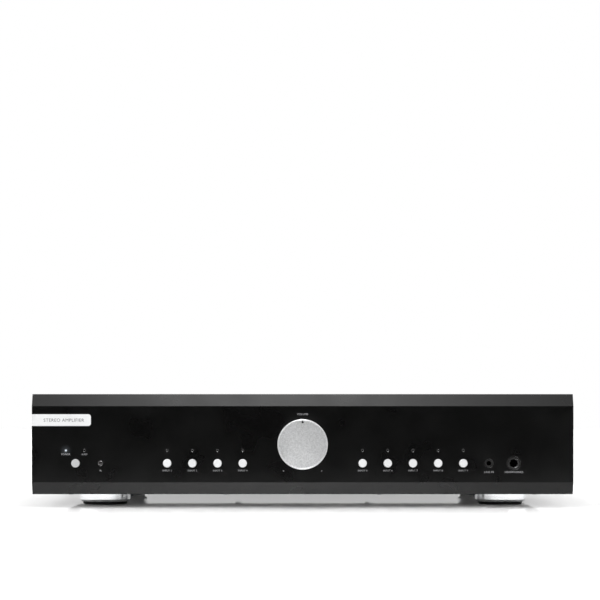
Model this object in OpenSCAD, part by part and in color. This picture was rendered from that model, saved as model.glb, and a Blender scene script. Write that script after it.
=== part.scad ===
// Full-width integrated stereo amplifier: one centre knob, ten push buttons and two front jacks.
// Millimetres, +Z up, the front faces -Y. The origin is on the ground under the middle of the whole.

/* [Cabinet] */
// Width of the front panel
panel_w = 440; // [438:1:446]
// Height of the front panel
panel_h = 81.5; // [80:0.5:84]
// Thickness of the front panel
panel_t = 10; // [9.5:0.5:10.5]
// Height of each sloping band along the front panel's top and bottom edges
bevel_h = 9.8; // [7:0.1:12]
// How far each sloping band leans back
bevel_d = 4.5; // [3:0.1:6]
// Depth from the front panel's face to the rear panel's outer face
cabinet_d = 340; // [338:1:350]
// Thickness of the folded steel sheets
sheet_t = 1.2; // [1:0.1:1.4]
// Thickness of the top cover's sheet
cover_t = 1.5; // [1.2:0.1:1.8]
// How much narrower the top cover is than the front panel
cover_inset = 4; // [4:0.5:6]
// How far the cover's top lies below the front panel's upper edge
cover_drop = 3; // [2:0.5:4]
// Outer radius of the cover's two folds
cover_fold_r = 2.5; // [2:0.1:3]

/* [Feet] */
// Height of the front panel's lower edge above the ground
foot_h = 11; // [10:0.5:12]
// Outer diameter of a foot ring
foot_d = 42; // [38:1:44]
// Diameter of the rubber pad under a foot ring
pad_d = 37; // [35:0.5:38]
// Thickness of rubber that shows under a foot ring
pad_h = 2.3; // [2:0.1:3]
// Sideways distance of each foot from the middle
foot_x = 167.3; // [160:0.1:175]
// Distance of the front feet behind the front panel's face
front_foot_in = 73; // [60:1:80]
// Distance of the rear feet behind the front panel's face
rear_foot_in = 272; // [260:1:290]

/* [Volume knob] */
// Diameter of the knob
knob_d = 40.4; // [38:0.1:42]
// Height of the knob's axis above the ground
knob_z = 51.9; // [50:0.05:53]
// Distance from the front panel's face to the knob's face
knob_reach = 21; // [20:0.5:22]
// Gap between the knob's skirt and the front panel
knob_gap = 1; // [0.8:0.1:1.5]
// Diameter of the control's shaft
shaft_d = 6; // [6:0.1:6.3]
// Radius at which the knob's pointer dimple sits
dimple_r = 17.9; // [15:0.1:18]
// Diameter of the pointer dimple
dimple_d = 1.9; // [1.5:0.1:2.2]

/* [Buttons and lights] */
// Diameter of a push button
button_d = 6.7; // [6.4:0.1:7.2]
// How far a push button stands out of the front panel
button_reach = 1.8; // [1.5:0.1:2.5]
// Travel of a push button
button_travel = 0.9; // [0.5:0.1:1]
// Height of the button line above the ground
button_z = 36.3; // [35.5:0.1:37]
// Distance between neighbouring buttons
button_pitch = 20.45; // [20:0.05:21]
// Distance from the middle to the first button on each side
button_start = 48.7; // [47:0.1:50]
// Sideways place of the power button, left of the middle
power_x = 184.5; // [183:0.1:186]
// Height of the row of lights above the ground
light_z = 46.7; // [46:0.1:47]
// Diameter of a light
light_d = 2; // [1.8:0.1:2.2]
// Sideways places of the power and standby lights, left of the middle
status_x = [192.4, 177.2];
// Sideways place of the remote eye, left of the middle
eye_x = 164.2; // [162:0.1:166]
// Diameter of the remote eye
eye_d = 4.4; // [4.2:0.1:5]

/* [Front sockets] */
// Sideways place of the 3.5 mm socket
line_in_x = 151.4; // [150.5:0.1:152]
// Sideways place of the 6.35 mm socket
phones_x = 171.6; // [170.5:0.1:172]
// Bore of the 3.5 mm socket
line_in_bore = 3.6; // [3.55:0.05:3.7]
// Bore of the 6.35 mm socket
phones_bore = 6.5; // [6.4:0.05:6.6]
// Outer diameter of the 3.5 mm socket's nose
line_in_nose = 6.8; // [6.6:0.1:7.2]
// Outer diameter of the 6.35 mm socket's nose
phones_nose = 10.8; // [10.4:0.1:11.2]
// Mouth of the 3.5 mm socket, where a plug is guided in
line_in_mouth = 4.8; // [4.4:0.1:5.2]
// Mouth of the 6.35 mm socket, where a plug is guided in
phones_mouth = 8.6; // [8:0.1:9]
// How far the two sockets' noses lie inside the front panel's face
nose_in = 0.7; // [0.4:0.1:1]

/* [Rear terminals] */
// How far the speaker terminals stand out of the rear panel
post_reach = 17; // [16:0.5:18]
// Bore of a speaker terminal, for a 4 mm plug
post_bore = 4.1; // [4.05:0.05:4.2]
// Outer diameter of a phono socket's shell
phono_d = 8.3; // [8.2:0.05:8.4]
// Sideways places of the speaker terminals
post_xs = [-112, -93, -60, -41];
// Height of the speaker terminals and the mains inlet above the ground
post_z = 50; // [48:0.5:52]

/* [Hidden] */
$fn = 64;

// Stack of planes from front to back
face_y = -(knob_reach + cabinet_d + post_reach) / 2 + knob_reach;
panel_back = face_y + panel_t;
sub_back = panel_back + sheet_t;
board_gap = 10.8;
board_t = 1.6;
control_y = sub_back + board_gap;
rear_y = face_y + cabinet_d;
rear_in = rear_y - sheet_t;
socket_block = 11.2;
input_y = rear_in - socket_block - board_t;

// Stack of planes from the ground up
panel_z = foot_h;
panel_top = panel_z + panel_h;
base_z = panel_z + 1;
floor_z = base_z + sheet_t;
cover_top = panel_top - cover_drop;
cover_in = cover_top - cover_t;
standoff_h = 8;
amp_z = floor_z + standoff_h;
amp_top = amp_z + board_t;

// Widths
cover_w = panel_w - cover_inset;
base_w = cover_w - 2 * cover_t;
rear_w = base_w - 0.4;
sub_w = base_w - 2 * sheet_t - 2;
side_flange_h = 17;
cover_skirt_z = base_z + 2;
rear_lip_z = cover_top - 11.5;
flange_d = 12.8;
flange_stop = 3;

// Name plate
plate_x = -172;
plate_z = [66.6, 76.15];
plate_r = 2.2;
plate_depth = 0.8;
plate_proud = 0.15;
plate_wrap = 7;

// Holes in the front panel
hole_gap = 0.2;
hole_edge = 0.4;
light_sink = 0.5;
light_in = 1;
screw_depth = 6;

// Buttons
left_count = 4;
right_count = 5;
left_xs = [for (i = [0 : left_count - 1]) -button_start - (left_count - 1 - i) * button_pitch];
right_xs = [for (i = [0 : right_count - 1]) button_start + i * button_pitch];
source_xs = concat(left_xs, right_xs);
press_xs = concat([-power_x], source_xs);
shoulder_in = 5;
button_edge = 0.6;
collar_in = shoulder_in + 0.1;
collar_d = button_d + 2.2;
collar_t = 1.4;
stem_d = 4;
tip_d = 3;
tip_l = 3;
switch_h = 3.5;
switch_w = 6;
switch_face = panel_t + sheet_t + board_gap - switch_h;
rest_gap = 0.2;
well_l = button_travel + 0.5;

// Remote eye
eye_h = 0.3;
eye_case = [6, 7, board_gap - 1];

// Volume control
hub_d = 14;
knob_web = 4;
knob_wall = 3;
shaft_tip = knob_reach - 3.5;
bush_d = 9;
bush_l = 8;
pot_d = 24;
pot_l = 22;
pot_cutout_d = 32;
pot_bearing_l = sheet_t + bush_l;
pot_gap = 0.3;
pot_lugs = [14, 6, 12];
shaft_in = 7;
shaft_slot = 1;
shaft_slot_l = 6;
nut_d = 14;
nut_h = 2.4;
run_gap = 0.05;
set_screw_d = 3;
set_screw_l = 4;
set_screw_in = 12;
knob_edge = 0.5;
knob_rim = 0.9;
knob_dish = 0.35;
knob_hole_d = 18;

// Screws
screw_d = 3;
head_d = 5.8;
head_h = 1.9;
panel_screws = [for (x = [-208, -60, 60, 208]) for (z = [22, 82]) [x, z]];
base_front_y = sub_back + flange_d / 2;
base_rear_y = rear_in - flange_d / 2;
base_screw_xs = [-190, -63, 63, 190];
cover_side_ys = [-120, 130];
cover_side_z = floor_z + 10.8;
cover_rear_xs = [-190, 0, 190];
cover_rear_z = rear_lip_z + 5;
board_screw_d = 2.5;
board_screw_l = 5;
foot_screw_d = 4;
foot_screw_l = 4;

// Ventilation
vent_l = 30;
vent_w = 3.2;
vent_pitch = 9;
vent_rows = 9;
sink_vent_xs = [for (i = [0 : 4]) -40 + 45 * i];
sink_vent_y = 36;
toroid_vent_xs = [-162, -117];
toroid_vent_y = -106;
base_vent = [5, 30];
base_vent_xs = [for (i = [0 : 7]) -30 + 22 * i];
base_vent_ys = [-90, 20, 64];

// Inner parts
toroid = [-140, -70];
toroid_r = 55;
toroid_hole_r = 18;
toroid_z = floor_z + 2;
toroid_h = 44;
toroid_edge = 6;
washer_d = 80;
washer_t = 1.5;
pad_washer_d = 90;
bolt_head = [15, 5.3];
stud_d = 8;
sink_x = [-45, 145];
sink_y = 60;
sink_t = 6;
fin_l = 26;
fin_pitch = 8;
fin_t = 2;
sink_top = 80;
transistor_xs = [-15, 25, 75, 115];
transistor = [15.6, 5, 20];
leg = [1.2, 0.8];
leg_l = 8;
leg_pitch = 5.45;
capacitors = [[-20, -30], [30, -30]];
capacitor_d = 35;
capacitor_h = 48;
crimp_z = 4;
amp_x = [-60, 160];
amp_y = [-110, 100];
amp_posts = [for (x = [-52, 40, 152]) for (y = [-102, 92]) [x, y]];
control_x = [-205, 142];
control_z = [25, 70];
control_posts = [[-196, 64], [-100, 64], [-28, 67], [28, 67], [100, 64], [-140, 29], [0, 30]];
phones_board_x = [143.5, 190];
phones_board_z = 28.1;
phones_posts = [[148, 24], [185, 24]];
phones_body = [16, 30, 16];
line_in_body = [12, 14, 14];
line_in_depth = 18;
phones_depth = 35;
mouth_slope = 1;
ribbon_x = [60, 85];
ribbon_t = 1;
ribbon_turn = 5;
ribbon_z = 32;
ribbon_low = floor_z + 3;
wire_xs = [-188, -180];
wire_d = 4;
wire_start = 36;
wire_y = rear_y - 24;
wire_z = floor_z + wire_d / 2;
input_board_z = [24, 74];

// Rear terminals
post_d = 14;
post_stem_d = 6;
post_hole_d = post_stem_d + 2;
post_nut = [12, 5];
post_tail = 12;
groove_d = 1.6;
groove_step = 30;
groove_start = 2.5;
post_flange_d = 16;
post_flange_t = 3.5;
wire_gap = 0.8;
phono_xs = [for (i = [0 : 5]) 50 + 20 * i];
phono_zs = [40, 62];
phono_l = 9;
phono_hole_d = phono_d + 0.7;
phono_collar = [12, 1.2];
phono_body = [13, 14];
phono_wall = 0.5;
phono_well_z = 1.5;
phono_core_d = 5;
phono_pin_d = 3.3;
phono_pin_in = 2;
digital_x = 14;
inlet_x = -185;
inlet_recess = [24.4, 16, 16.8];
inlet_body = [27.4, 18, 19.8];
inlet_flange = [50, 2, 24];
rocker_x = -145;
rocker_w = 10.4;
rocker_pivot_y = rear_y - 1.5;
rocker_tilt = 10;
rocker_window = [11, 18];
rocker_wall = 1.5;
rocker_cup = 15;
rocker_pin_d = 2.4;
rocker_box = rocker_window + [2 * rocker_wall, 2 * rocker_wall];
rocker_plate = [21, 1.5, 26];
rocker_pin_l = 1;
rocker_pin_gap = 0.2;
optical = [14, 10];
optical_mouth = [9.2, 8.4, 8];
pin_places = [[-7, -2], [7, -2], [0, 2]];
pin_size = [2, 14, 4];
inlet_screw = [20, 3.4];

foot_r = 2;
foot_well_d = 30;
foot_web = 3;
pad_edge = 0.6;
pad_plug_h = 2.5;
foot_places = [
    [-foot_x, face_y + front_foot_in],
    [foot_x, face_y + front_foot_in],
    [-foot_x, face_y + rear_foot_in],
    [foot_x, face_y + rear_foot_in]
];

// A profile drawn as [Y, Z] and swept along X
module sweep_x(x1, x2) translate([x1, 0, 0]) rotate([90, 0, 90]) linear_extrude(x2 - x1) children();

// A profile drawn as [X, Z] and swept along Y
module sweep_y(y1, y2) translate([0, y2, 0]) rotate([90, 0, 0]) linear_extrude(y2 - y1) children();

// A round rod between two Y planes
module rod_y(d, y1, y2, x, z) translate([x, y1, z]) rotate([-90, 0, 0]) cylinder(d = d, h = y2 - y1);

// Stands its children on the front panel's face, their +Z pointing out of the front
module on_face(x, z) translate([x, face_y, z]) rotate([90, 0, 0]) children();

// Stands its children on the rear panel's outer face, their +Z pointing out of the back
module on_rear(x, z) translate([x, rear_y, z]) rotate([-90, 0, 0]) children();

// A round hole through the front panel, its front edge broken by a cone
module face_hole(d, x, z, edge = hole_edge) {
    rod_y(d, face_y - 1, panel_back + 1, x, z);
    on_face(x, z) translate([0, 0, -edge]) cylinder(d1 = d, d2 = d + 4 * edge, h = 2 * edge);
}

// A pan-head screw whose head stands on z = 0 and whose shank points down
module screw(d = screw_d, l = 6, head = head_d, head_l = head_h) difference() {
    union() {
        translate([0, 0, -l]) cylinder(d = d, h = l);
        rotate_extrude() polygon([
            [0, 0],
            [head / 2, 0],
            [head / 2, head_l * 0.45],
            [head * 0.3, head_l],
            [0, head_l]
        ]);
    }
    for (a = [0, 90]) rotate(a)
        translate([-head / 4, -head / 14, head_l * 0.45]) cube([head / 2, head / 7, head_l]);
}

// A rectangle with rounded corners, from its lower left to its upper right corner
module rounded(a, b, r) {
    translate([a[0], a[1] + r]) square([b[0] - a[0], b[1] - a[1] - 2 * r]);
    translate([a[0] + r, a[1]]) square([b[0] - a[0] - 2 * r, b[1] - a[1]]);
    for (x = [a[0] + r, b[0] - r]) for (z = [a[1] + r, b[1] - r]) translate([x, z]) circle(r);
}

// Outline of the name plate's front leaf, square at the panel's end and rounded at the other
module plate_outline() {
    translate([-panel_w / 2, plate_z[0]]) square([plate_x - plate_r + panel_w / 2, plate_z[1] - plate_z[0]]);
    rounded([plate_x - 6 * plate_r, plate_z[0]], [plate_x, plate_z[1]], plate_r);
}

module name_plate() color("gainsboro") {
    sweep_y(face_y - plate_proud, face_y + plate_depth) plate_outline();
    translate([-panel_w / 2, face_y, plate_z[0]]) cube([plate_depth, plate_wrap, plate_z[1] - plate_z[0]]);
}

module front_panel() color("#1a1a1c") difference() {
    sweep_x(-panel_w / 2, panel_w / 2) polygon([
        [face_y, panel_z + bevel_h],
        [face_y, panel_top - bevel_h],
        [face_y + bevel_d, panel_top],
        [panel_back, panel_top],
        [panel_back, panel_z],
        [face_y + bevel_d, panel_z]
    ]);
    for (x = press_xs) {
        face_hole(button_d + 2 * hole_gap, x, button_z);
        rod_y(collar_d + 4 * hole_gap, face_y + shoulder_in, panel_back + 1, x, button_z);
    }
    for (x = concat(source_xs, -status_x)) face_hole(light_d + hole_gap, x, light_z, light_sink);
    rod_y(eye_d + hole_gap, face_y - 1, panel_back + 1, -eye_x, button_z);
    face_hole(line_in_nose + hole_gap, line_in_x, button_z);
    face_hole(phones_nose + hole_gap, phones_x, button_z);
    rod_y(knob_hole_d, face_y - 1, panel_back + 1, 0, knob_z);
    for (p = panel_screws) rod_y(screw_d, panel_back - screw_depth, panel_back + 1, p[0], p[1]);
    sweep_y(face_y - 1, face_y + plate_depth) plate_outline();
    translate([-panel_w / 2 - 1, face_y - 1, plate_z[0]])
        cube([plate_depth + 1, plate_wrap + 1, plate_z[1] - plate_z[0]]);
}

module front_subpanel() color("silver") difference() {
    sweep_x(-sub_w / 2, sub_w / 2) union() {
        translate([panel_back, floor_z]) square([sheet_t, cover_in - floor_z]);
        for (z = [floor_z, cover_in - sheet_t])
            translate([panel_back, z]) square([flange_d + sheet_t, sheet_t]);
    }
    for (x = press_xs) rod_y(collar_d + 1, panel_back - 1, sub_back + 1, x, button_z);
    for (x = concat(source_xs, -status_x)) rod_y(light_d + 1, panel_back - 1, sub_back + 1, x, light_z);
    rod_y(eye_d + 1.5, panel_back - 1, sub_back + 1, -eye_x, button_z);
    rod_y(line_in_nose + hole_gap, panel_back - 1, sub_back + 1, line_in_x, button_z);
    rod_y(phones_nose + hole_gap, panel_back - 1, sub_back + 1, phones_x, button_z);
    rod_y(bush_d, panel_back - 1, sub_back + 1, 0, knob_z);
    for (p = panel_screws) rod_y(screw_d, panel_back - 1, sub_back + 1, p[0], p[1]);
    for (x = base_screw_xs) translate([x, base_front_y, floor_z - 1]) cylinder(d = screw_d, h = sheet_t + 2);
}

module base_tray() color("dimgray") difference() {
    sweep_y(panel_back, rear_y) union() {
        translate([-base_w / 2, base_z]) square([base_w, sheet_t]);
        for (x = [-base_w / 2, base_w / 2 - sheet_t]) translate([x, base_z]) square([sheet_t, side_flange_h]);
    }
    for (x = base_screw_xs) for (y = [base_front_y, base_rear_y])
        translate([x, y, base_z - 1]) cylinder(d = screw_d, h = sheet_t + 2);
    for (p = foot_places) translate([p[0], p[1], base_z - 1]) cylinder(d = foot_screw_d, h = sheet_t + 2);
    translate([toroid[0], toroid[1], base_z - 1]) cylinder(d = stud_d, h = sheet_t + 2);
    for (y = cover_side_ys) translate([-base_w / 2 - 1, y, cover_side_z]) rotate([0, 90, 0])
        cylinder(d = screw_d, h = base_w + 2);
    for (x = base_vent_xs) for (y = base_vent_ys)
        translate([x, y, base_z - 1]) cube([base_vent[0], base_vent[1], sheet_t + 2]);
}

module rear_panel() color("#1a1a1c") difference() {
    sweep_x(-rear_w / 2, rear_w / 2) union() {
        translate([rear_in, floor_z]) square([sheet_t, cover_in - floor_z]);
        for (z = [floor_z, cover_in - sheet_t])
            translate([rear_in - flange_d, z]) square([flange_d + sheet_t, sheet_t]);
    }
    // The flanges stop short of the base tray's side flanges
    for (s = [-1, 1]) translate([s * rear_w / 2 - flange_stop, rear_in - flange_d - 1, floor_z - 1])
        cube([2 * flange_stop, flange_d + 1, cover_in - floor_z + 2]);
    for (x = base_screw_xs) translate([x, base_rear_y, floor_z - 1]) cylinder(d = screw_d, h = sheet_t + 2);
    for (x = cover_rear_xs) rod_y(screw_d, rear_in - 1, rear_y + 1, x, cover_rear_z);
    for (x = phono_xs) for (z = phono_zs) rod_y(phono_hole_d, rear_in - 1, rear_y + 1, x, z);
    rod_y(phono_hole_d, rear_in - 1, rear_y + 1, digital_x, phono_zs[0]);
    translate([digital_x - optical[0] / 2, rear_in - 1, phono_zs[1] - optical[1] / 2])
        cube([optical[0], sheet_t + 2, optical[1]]);
    for (x = post_xs) rod_y(post_hole_d, rear_in - 1, rear_y + 1, x, post_z);
    translate([inlet_x - inlet_body[0] / 2, rear_in - 1, post_z - inlet_body[2] / 2])
        cube([inlet_body[0], sheet_t + 2, inlet_body[2]]);
    translate([rocker_x - rocker_box[0] / 2, rear_in - 1, post_z - rocker_box[1] / 2])
        cube([rocker_box[0], sheet_t + 2, rocker_box[1]]);
    // The side edges clear the base tray's upright flanges
    for (s = [-1, 1]) translate([s * (base_w / 2 - sheet_t) - (s < 0 ? 2 : 0), rear_in - 1, floor_z - 1])
        cube([2, sheet_t + 2, side_flange_h]);
}

// The cover's outline from behind, square below and rounded at its two folds
module cover_section(w, top, r) {
    translate([-w / 2, cover_skirt_z]) square([w, top - r - cover_skirt_z]);
    translate([-w / 2 + r, cover_skirt_z]) square([w - 2 * r, top - cover_skirt_z]);
    for (x = [-w / 2 + r, w / 2 - r]) translate([x, top - r]) circle(r);
}

// One ventilation slot with round ends, cut through the top
module vent_slot(x, y) translate([x, y, cover_in - 1]) linear_extrude(cover_t + 2) {
    translate([-vent_l / 2, -vent_w / 2]) square([vent_l, vent_w]);
    for (s = [-1, 1]) translate([s * vent_l / 2, 0]) circle(vent_w / 2);
}

module top_cover() color("#1d1d1f") difference() {
    union() {
        sweep_y(panel_back, rear_y + cover_t) difference() {
            cover_section(cover_w, cover_top, cover_fold_r);
            translate([0, -1]) cover_section(base_w, cover_in + 1, cover_fold_r - cover_t);
        }
        // The rear lip that laps over the rear panel
        translate([-base_w / 2 - cover_t / 3, rear_y, rear_lip_z])
            cube([base_w + cover_t * 2 / 3, cover_t, cover_in + cover_t / 3 - rear_lip_z]);
    }
    for (row = [0 : vent_rows - 1]) {
        for (x = sink_vent_xs) vent_slot(x, sink_vent_y + vent_pitch * row);
        for (x = toroid_vent_xs) vent_slot(x, toroid_vent_y + vent_pitch * row);
    }
    for (y = cover_side_ys) translate([-cover_w / 2 - 1, y, cover_side_z]) rotate([0, 90, 0])
        cylinder(d = screw_d, h = cover_w + 2);
    for (x = cover_rear_xs) rod_y(screw_d, rear_y - 1, rear_y + cover_t + 1, x, cover_rear_z);
}

module cover_screws() color("#202020") {
    for (y = cover_side_ys) for (s = [-1, 1])
        translate([s * cover_w / 2, y, cover_side_z]) rotate([0, s * 90, 0]) screw();
    for (x = cover_rear_xs) translate([x, rear_y + cover_t, cover_rear_z]) rotate([-90, 0, 0]) screw();
}

module chassis_screws() color("silver") {
    for (x = base_screw_xs) for (y = [base_front_y, base_rear_y])
        translate([x, y, base_z]) rotate([180, 0, 0]) screw(l = 5);
    for (p = panel_screws) translate([p[0], sub_back, p[1]]) rotate([-90, 0, 0]) screw(l = 7);
}

module board_screw() screw(board_screw_d, board_screw_l, 4.6, 1.6);

module board_screws() color("silver") {
    for (p = control_posts) translate([p[0], control_y + board_t, p[1]]) rotate([-90, 0, 0]) board_screw();
    for (p = amp_posts) translate([p[0], p[1], amp_top]) board_screw();
    for (p = phones_posts) translate([p[0], sub_back + p[1], phones_board_z]) board_screw();
}

// A round standoff with a blind threaded hole in its upper end
module standoff(d, l) difference() {
    cylinder(d = d, h = l);
    translate([0, 0, l - board_screw_l]) cylinder(d = board_screw_d, h = board_screw_l + 1);
}

module board_standoffs() color("goldenrod") {
    for (p = control_posts) translate([p[0], sub_back, p[1]]) rotate([-90, 0, 0]) standoff(5, board_gap);
    for (p = amp_posts) translate([p[0], p[1], floor_z]) standoff(6, standoff_h);
    for (p = phones_posts) translate([p[0], sub_back + p[1], floor_z])
        standoff(5, phones_board_z - board_t - floor_z);
}

// A bright cup with a rounded lower edge, screwed up into the base tray
module foot_ring(i) color("silver") translate([foot_places[i][0], foot_places[i][1], 0]) difference() {
    union() {
        translate([0, 0, pad_h + foot_r]) cylinder(d = foot_d, h = base_z - pad_h - foot_r);
        translate([0, 0, pad_h]) cylinder(d = foot_d - 2 * foot_r, h = foot_r + 1);
        translate([0, 0, pad_h + foot_r]) rotate_extrude() translate([foot_d / 2 - foot_r, 0]) circle(foot_r);
    }
    translate([0, 0, pad_h - 1]) cylinder(d = foot_well_d, h = base_z - foot_web - pad_h + 1);
    cylinder(d = foot_screw_d, h = base_z + 1);
}

module foot_pads() color("#181818") for (p = foot_places) translate([p[0], p[1], 0]) {
    rotate_extrude() polygon([
        [0, 0],
        [pad_d / 2 - pad_edge, 0],
        [pad_d / 2, pad_edge],
        [pad_d / 2, pad_h],
        [foot_well_d / 2, pad_h],
        [foot_well_d / 2, pad_h + pad_plug_h],
        [0, pad_h + pad_plug_h]
    ]);
}

module foot_screws() color("silver") for (p = foot_places)
    translate([p[0], p[1], base_z - foot_web]) rotate([180, 0, 0]) screw(foot_screw_d, foot_screw_l, 8, 2.6);

module volume_knob() color("silver") on_face(0, knob_z) difference() {
    rotate_extrude() polygon([
        [0, knob_reach - knob_dish],
        [knob_d / 2 - knob_rim - knob_dish, knob_reach - knob_dish],
        [knob_d / 2 - knob_rim, knob_reach],
        [knob_d / 2 - knob_edge, knob_reach],
        [knob_d / 2, knob_reach - knob_edge],
        [knob_d / 2, knob_gap],
        [knob_d / 2 - knob_wall, knob_gap],
        [knob_d / 2 - knob_wall, knob_reach - knob_web],
        [hub_d / 2, knob_reach - knob_web],
        [hub_d / 2, knob_gap + 1],
        [0, knob_gap + 1]
    ]);
    translate([0, 0, -1]) cylinder(d = shaft_d, h = shaft_tip + 1);
    translate([0, dimple_r, knob_reach - 1]) cylinder(d = dimple_d, h = 2);
    translate([0, 0, set_screw_in]) rotate([90, 0, 0]) cylinder(d = set_screw_d, h = knob_d / 2 + 1);
}

module knob_set_screw() color("dimgray") on_face(0, knob_z)
    translate([0, -shaft_d / 2, set_screw_in]) rotate([90, 0, 0]) difference() {
        cylinder(d = set_screw_d, h = set_screw_l);
        translate([0, 0, set_screw_l - 1.5]) cylinder(d = set_screw_d / 2, h = 2);
    }

module volume_shaft() color("silver") on_face(0, knob_z) difference() {
    translate([0, 0, -panel_t - sheet_t - shaft_in])
        cylinder(d = shaft_d, h = panel_t + sheet_t + shaft_in + shaft_tip);
    translate([-shaft_slot / 2, -shaft_d, shaft_tip - shaft_slot_l])
        cube([shaft_slot, 2 * shaft_d, shaft_slot_l + 1]);
}

module volume_control() color("slategray") on_face(0, knob_z) difference() {
    union() {
        translate([0, 0, -panel_t - sheet_t]) cylinder(d = bush_d, h = pot_bearing_l);
        translate([0, 0, -panel_t - sheet_t - pot_l]) cylinder(d = pot_d, h = pot_l);
        translate([-pot_lugs[0] / 2, -pot_d / 2 - 2, -panel_t - sheet_t - pot_l + 2]) cube(pot_lugs);
    }
    translate([0, 0, -panel_t - sheet_t - shaft_in - pot_gap])
        cylinder(d = shaft_d + 2 * run_gap, h = pot_bearing_l + shaft_in + 1);
}

module control_nut() color("silver") on_face(0, knob_z) translate([0, 0, -panel_t]) difference() {
    cylinder(d = nut_d, h = nut_h, $fn = 6);
    translate([0, 0, -1]) cylinder(d = bush_d, h = nut_h + 2, $fn = 64);
}

// A round button with its retaining collar and its stem
module press_button(x) on_face(x, button_z) rotate_extrude() polygon([
    [0, button_reach],
    [button_d / 2 - button_edge, button_reach],
    [button_d / 2 - button_edge / 4, button_reach - button_edge / 4],
    [button_d / 2, button_reach - button_edge],
    [button_d / 2, -collar_in],
    [collar_d / 2, -collar_in],
    [collar_d / 2, -collar_in - collar_t],
    [stem_d / 2, -collar_in - collar_t],
    [stem_d / 2, -switch_face + rest_gap + tip_l],
    [tip_d / 2, -switch_face + rest_gap + tip_l],
    [tip_d / 2, -switch_face + rest_gap],
    [0, -switch_face + rest_gap]
]);

module power_button() color("lightgray") press_button(-power_x);

module source_button(i) color("whitesmoke") press_button(source_xs[i]);

module push_switches() color("#303030") for (x = press_xs) on_face(x, button_z) difference() {
    translate([-switch_w / 2, -switch_w / 2, -switch_face - switch_h]) cube([switch_w, switch_w, switch_h]);
    translate([0, 0, -switch_face - well_l]) cylinder(d = tip_d + 4 * hole_gap, h = well_l + 1);
}

// A clear rod that carries light from the board towards the panel's face
module light_pipe(x) rod_y(light_d, face_y + light_in, control_y, x, light_z);

module source_lights() color("gray") for (x = source_xs) light_pipe(x);

module power_light() color("aliceblue") light_pipe(-status_x[0]);

module standby_light() color("gray") light_pipe(-status_x[1]);

module remote_eye() color("#2a1418") on_face(-eye_x, button_z) {
    translate([0, 0, -panel_t - sheet_t - 1]) cylinder(d = eye_d, h = panel_t + sheet_t + 1);
    rotate_extrude() polygon([[0, 0], [eye_d / 2, 0], [eye_d / 2 - eye_h, eye_h], [0, eye_h * 1.5]]);
    translate([-eye_case[0] / 2, -eye_case[1] / 2, -panel_t - sheet_t - board_gap]) cube(eye_case);
}

module control_board() color("darkgreen") difference() {
    translate([control_x[0], control_y, control_z[0]])
        cube([control_x[1] - control_x[0], board_t, control_z[1] - control_z[0]]);
    rod_y(pot_cutout_d, control_y - 1, control_y + board_t + 1, 0, knob_z);
    for (p = control_posts) rod_y(board_screw_d, control_y - 1, control_y + board_t + 1, p[0], p[1]);
}

// A front socket: its nose in the panel, its body on the small board, its bore and its sloping mouth
module front_socket(x, nose_d, mouth_d, bore_d, depth, body) difference() {
    union() {
        rod_y(nose_d, face_y + nose_in, sub_back, x, button_z);
        translate([x - body[0] / 2, sub_back, phones_board_z]) cube(body);
    }
    rod_y(bore_d, face_y, face_y + depth, x, button_z);
    on_face(x, button_z) translate([0, 0, -nose_in - mouth_slope])
        cylinder(d1 = bore_d, d2 = 2 * mouth_d - bore_d, h = 2 * mouth_slope);
}

module line_in_socket() color("#202020")
    front_socket(line_in_x, line_in_nose, line_in_mouth, line_in_bore, line_in_depth, line_in_body);

module headphone_socket() color("#202020")
    front_socket(phones_x, phones_nose, phones_mouth, phones_bore, phones_depth, phones_body);

module headphone_board() color("darkgreen") difference() {
    translate([phones_board_x[0], sub_back, phones_board_z - board_t])
        cube([phones_board_x[1] - phones_board_x[0], phones_body[1] + 4, board_t]);
    for (p = phones_posts) translate([p[0], sub_back + p[1], phones_board_z - board_t - 1])
        cylinder(d = board_screw_d, h = board_t + 2);
}

module amplifier_board() color("darkgreen") difference() {
    translate([amp_x[0], amp_y[0], amp_z]) cube([amp_x[1] - amp_x[0], amp_y[1] - amp_y[0], board_t]);
    for (p = amp_posts) translate([p[0], p[1], amp_z - 1]) cylinder(d = board_screw_d, h = board_t + 2);
}

module heat_sink() color("#2b2b2d") translate([0, 0, amp_top]) linear_extrude(sink_top - amp_top) {
    translate([sink_x[0], sink_y]) square([sink_x[1] - sink_x[0], sink_t]);
    for (x = [sink_x[0] : fin_pitch : sink_x[1] - fin_t])
        translate([x, sink_y]) square([fin_t, sink_t + fin_l]);
}

module power_transistors() color("#202020") for (x = transistor_xs) {
    translate([x - transistor[0] / 2, sink_y - transistor[1], amp_top + leg_l]) cube(transistor);
    for (s = [-1, 0, 1]) translate([x + leg_pitch * s - leg[0] / 2, sink_y - transistor[1] / 2, amp_top])
        cube([leg[0], leg[1], leg_l + 1]);
}

module filter_capacitors() color("#16233a") for (p = capacitors) translate([p[0], p[1], amp_top])
    rotate_extrude() polygon([
        [0, 0],
        [capacitor_d / 2, 0],
        [capacitor_d / 2, crimp_z - 1],
        [capacitor_d / 2 - 1, crimp_z],
        [capacitor_d / 2, crimp_z + 1],
        [capacitor_d / 2, capacitor_h - 1],
        [capacitor_d / 2 - 1, capacitor_h],
        [0, capacitor_h]
    ]);

module transformer() color("#7a5a2a") translate([toroid[0], toroid[1], toroid_z])
    rotate_extrude() rounded([toroid_hole_r, 0], [toroid_r, toroid_h], toroid_edge);

// A dished washer above and a rubber washer below the winding
module transformer_washers() color("silver") translate([toroid[0], toroid[1], 0]) {
    difference() {
        union() {
            translate([0, 0, toroid_z + toroid_h]) cylinder(d = washer_d, h = washer_t);
            translate([0, 0, floor_z]) cylinder(d = pad_washer_d, h = toroid_z - floor_z);
        }
        cylinder(d = stud_d, h = panel_h);
    }
}

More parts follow.
